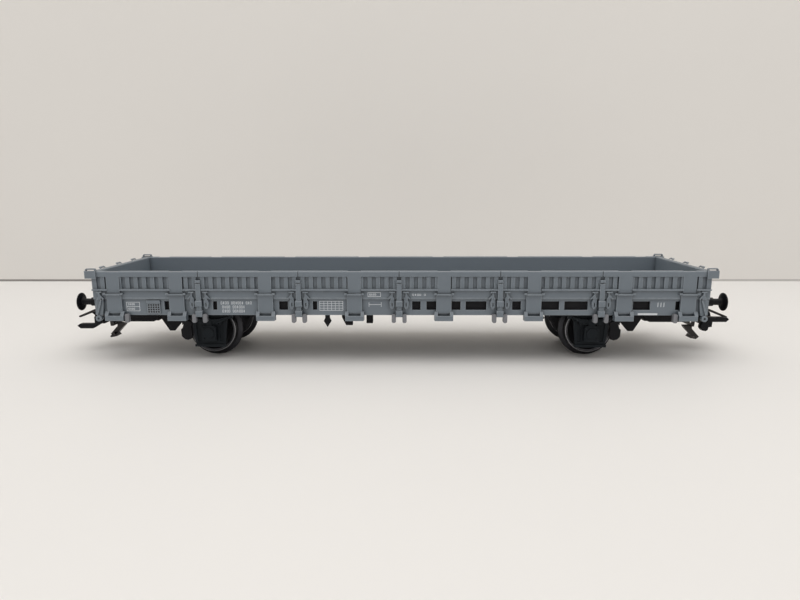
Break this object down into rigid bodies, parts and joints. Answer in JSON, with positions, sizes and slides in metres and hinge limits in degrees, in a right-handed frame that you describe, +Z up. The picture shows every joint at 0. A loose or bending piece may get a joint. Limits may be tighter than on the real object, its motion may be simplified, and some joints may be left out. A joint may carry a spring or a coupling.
{
  "type": "model flat wagon",
  "caption": "Two-axle model railway flat wagon with low corrugated sides, stake pockets, buffers and swinging loop couplers.",
  "frame": {"origin": "under the wagon's centre, in the plane on which the wheel flanges stand", "axes": "+X to the wagon's front end, +Y to its left side, +Z up"},
  "size_m": [0.1672, 0.0332, 0.0228],
  "materials": {
    "grey": "satin, moulded in a slightly green grey",
    "print_white": "printed marks on the sides",
    "stop_grey": "satin, light grey",
    "black": "satin",
    "guard_black": "satin, greenish black",
    "wheel": "blackened, bright rim",
    "steel": "plain",
    "black_metal": "blackened"
  },
  "bodies": {
    "wagon_body": {"axle_guard_front_left": "guard_black", "axle_guard_front_right": "guard_black", "axle_guard_rear_left": "guard_black", "axle_guard_rear_right": "guard_black", "ballast_weight": "steel", "brake_gear_front": "black", "brake_gear_rear": "black", "brake_handles": "black", "buffer_front_left": "black", "buffer_front_right": "black", "buffer_rear_left": "black", "buffer_rear_right": "black", "centring_spring_front": "steel", "centring_spring_rear": "steel", "corner_eyes": "grey", "corner_latches_left": "grey", "corner_latches_right": "grey", "coupler_housing_front": "black", "coupler_housing_rear": "black", "cover_screw_front": "steel", "cover_screw_rear": "steel", "deck": "grey", "door_latches_left": "grey", "door_latches_right": "grey", "door_posts_left": "grey", "door_posts_right": "grey", "door_stops_left": "stop_grey", "door_stops_right": "stop_grey", "end_wall_front": "grey", "end_wall_rear": "grey", "headstock_front": "grey", "headstock_rear": "grey", "housing_cover_front": "black", "housing_cover_rear": "black", "label_holder_left": "grey", "label_holder_right": "grey", "side_wall_left": "grey", "side_wall_right": "grey", "sole_bar_left": "grey", "sole_bar_right": "grey", "stake_pockets_left": "grey", "stake_pockets_right": "grey", "tie_rings": "grey", "underframe_centre": "black", "underframe_end_front": "black", "underframe_end_rear": "black"},
    "wheelset_front": {"axle_front": "steel", "wheel_front_left": "wheel", "wheel_front_right": "wheel"},
    "coupler_front": {"coupler_drawbar_front": "black", "coupler_head_front": "black", "loop_pin_front": "black_metal"},
    "loop_front": {"coupler_loop_front": "black_metal"},
    "wheelset_rear": {"axle_rear": "steel", "wheel_rear_left": "wheel", "wheel_rear_right": "wheel"},
    "coupler_rear": {"coupler_drawbar_rear": "black", "coupler_head_rear": "black", "loop_pin_rear": "black_metal"},
    "loop_rear": {"coupler_loop_rear": "black_metal"}
  },
  "joints": [
    {"name": "wheelset_front_spin", "type": "hinge", "parent": "wagon_body", "child": "wheelset_front", "pos_m": [0.0463, 0, 0.00685], "axis": [0, 1, 0], "continuous": true},
    {"name": "coupler_front_swing", "type": "hinge", "parent": "wagon_body", "child": "coupler_front", "pos_m": [0.0648, 0, 0.0102], "axis": [0, 0, 1], "range_deg": [-12, 12], "stiffness_Nm_per_rad": 0.0005, "deforming": ["centring_spring_front"]},
    {"name": "loop_front_lift", "type": "hinge", "parent": "coupler_front", "child": "loop_front", "pos_m": [0.0756, 0, 0.0085], "axis": [0, -1, 0], "range_deg": [0, 18]},
    {"name": "wheelset_rear_spin", "type": "hinge", "parent": "wagon_body", "child": "wheelset_rear", "pos_m": [-0.0463, 0, 0.00685], "axis": [0, 1, 0], "continuous": true},
    {"name": "coupler_rear_swing", "type": "hinge", "parent": "wagon_body", "child": "coupler_rear", "pos_m": [-0.0648, 0, 0.0102], "axis": [0, 0, 1], "range_deg": [-12, 12], "stiffness_Nm_per_rad": 0.0005, "deforming": ["centring_spring_rear"]},
    {"name": "loop_rear_lift", "type": "hinge", "parent": "coupler_rear", "child": "loop_rear", "pos_m": [-0.0756, 0, 0.0085], "axis": [0, 1, 0], "range_deg": [0, 18]}
  ]
}
